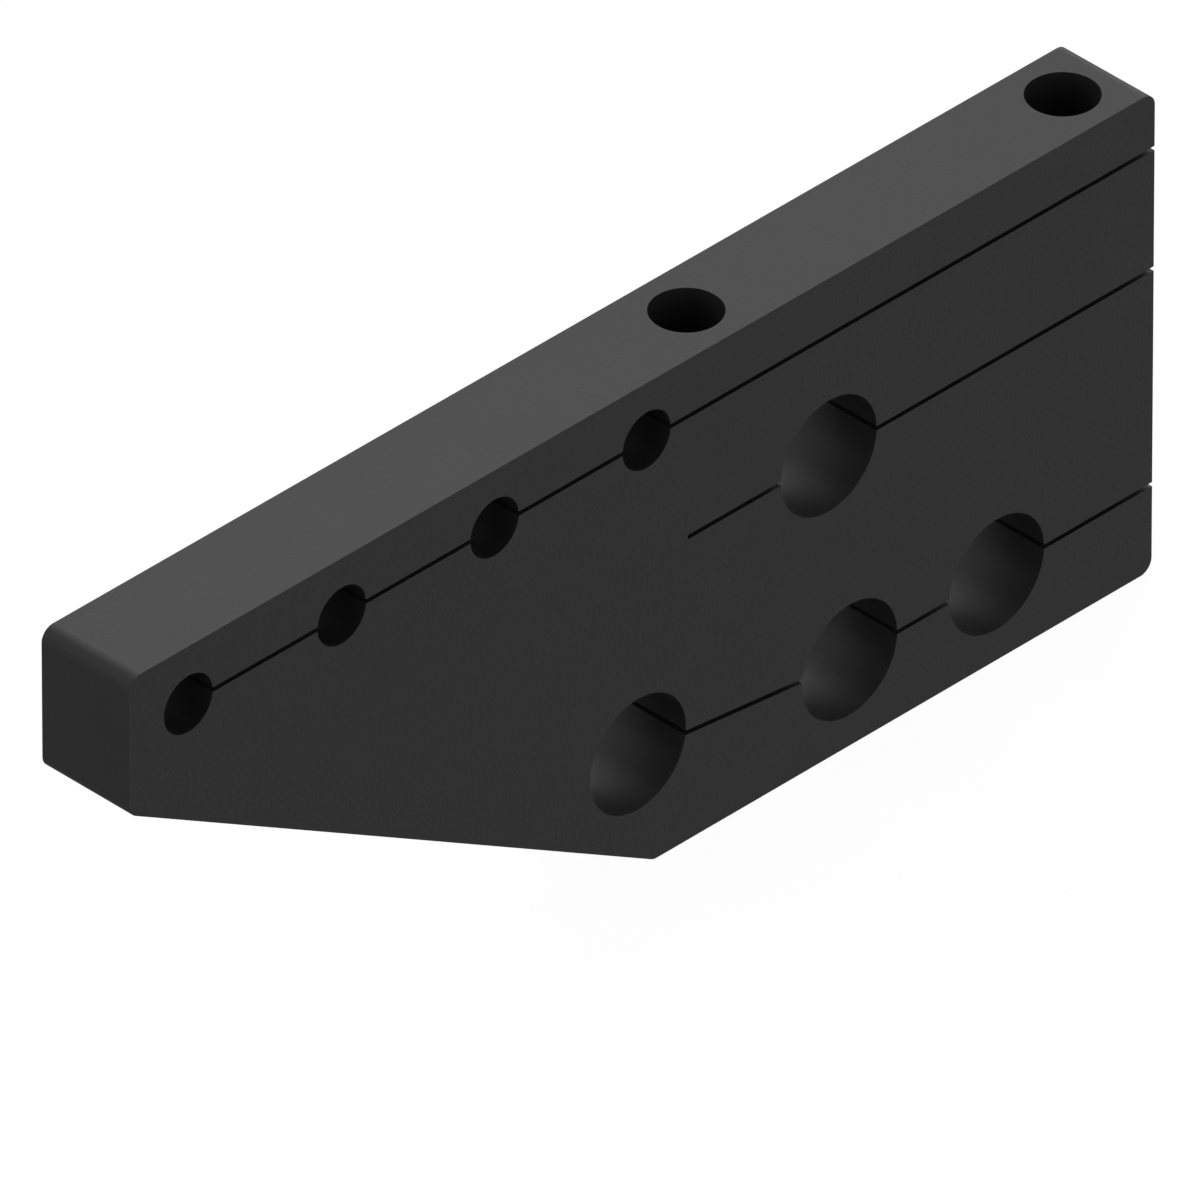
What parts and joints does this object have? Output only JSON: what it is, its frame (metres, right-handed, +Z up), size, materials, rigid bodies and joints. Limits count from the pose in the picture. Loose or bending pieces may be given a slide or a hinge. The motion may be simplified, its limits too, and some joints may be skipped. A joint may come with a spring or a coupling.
{
  "type": "block clamp",
  "caption": "Flat tapered block, slit from one end into clamping leaves, with small and large cross bores for tubes and upright bolt holes.",
  "frame": {"origin": "on the plane of the seat, in the middle of the block's length and thickness", "axes": "+X along the block to its square end, where the slits open; +Y through the thickness, along the cross bores; +Z up from the seat to the top face, along the bolt holes"},
  "size_m": [0.2704, 0.023, 0.11],
  "materials": {
    "block": "satin black engineering plastic with a fine grain"
  },
  "bodies": {
    "root": {"clamp_block": "block"}
  },
  "joints": []
}
